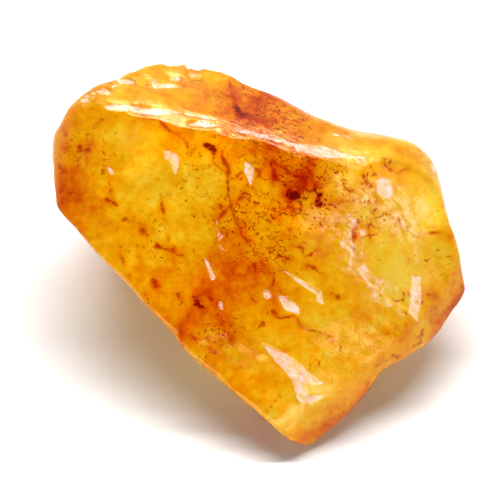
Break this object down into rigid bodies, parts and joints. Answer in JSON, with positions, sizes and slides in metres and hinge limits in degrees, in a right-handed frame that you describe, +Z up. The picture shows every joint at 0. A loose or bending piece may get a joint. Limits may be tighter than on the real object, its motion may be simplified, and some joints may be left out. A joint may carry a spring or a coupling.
{
  "type": "rough yellow sapphire",
  "caption": "Uncut yellow-orange sapphire lump, water-worn, with broad flat facets, a stepped ledge and shell-shaped breaks, lying on a flat face.",
  "frame": {"origin": "on the resting face, under the middle of the lump's bounding box", "axes": "+Z up from the resting face, +X along the lump's longest extent, -Y towards the broad worn face"},
  "size_m": [0.0458, 0.0366, 0.0255],
  "materials": {
    "sapphire": "wet-glossy, cloudy yellow-orange crystal with dark red-brown veins and specks"
  },
  "bodies": {
    "root": {"rough_sapphire": "sapphire"}
  },
  "joints": []
}
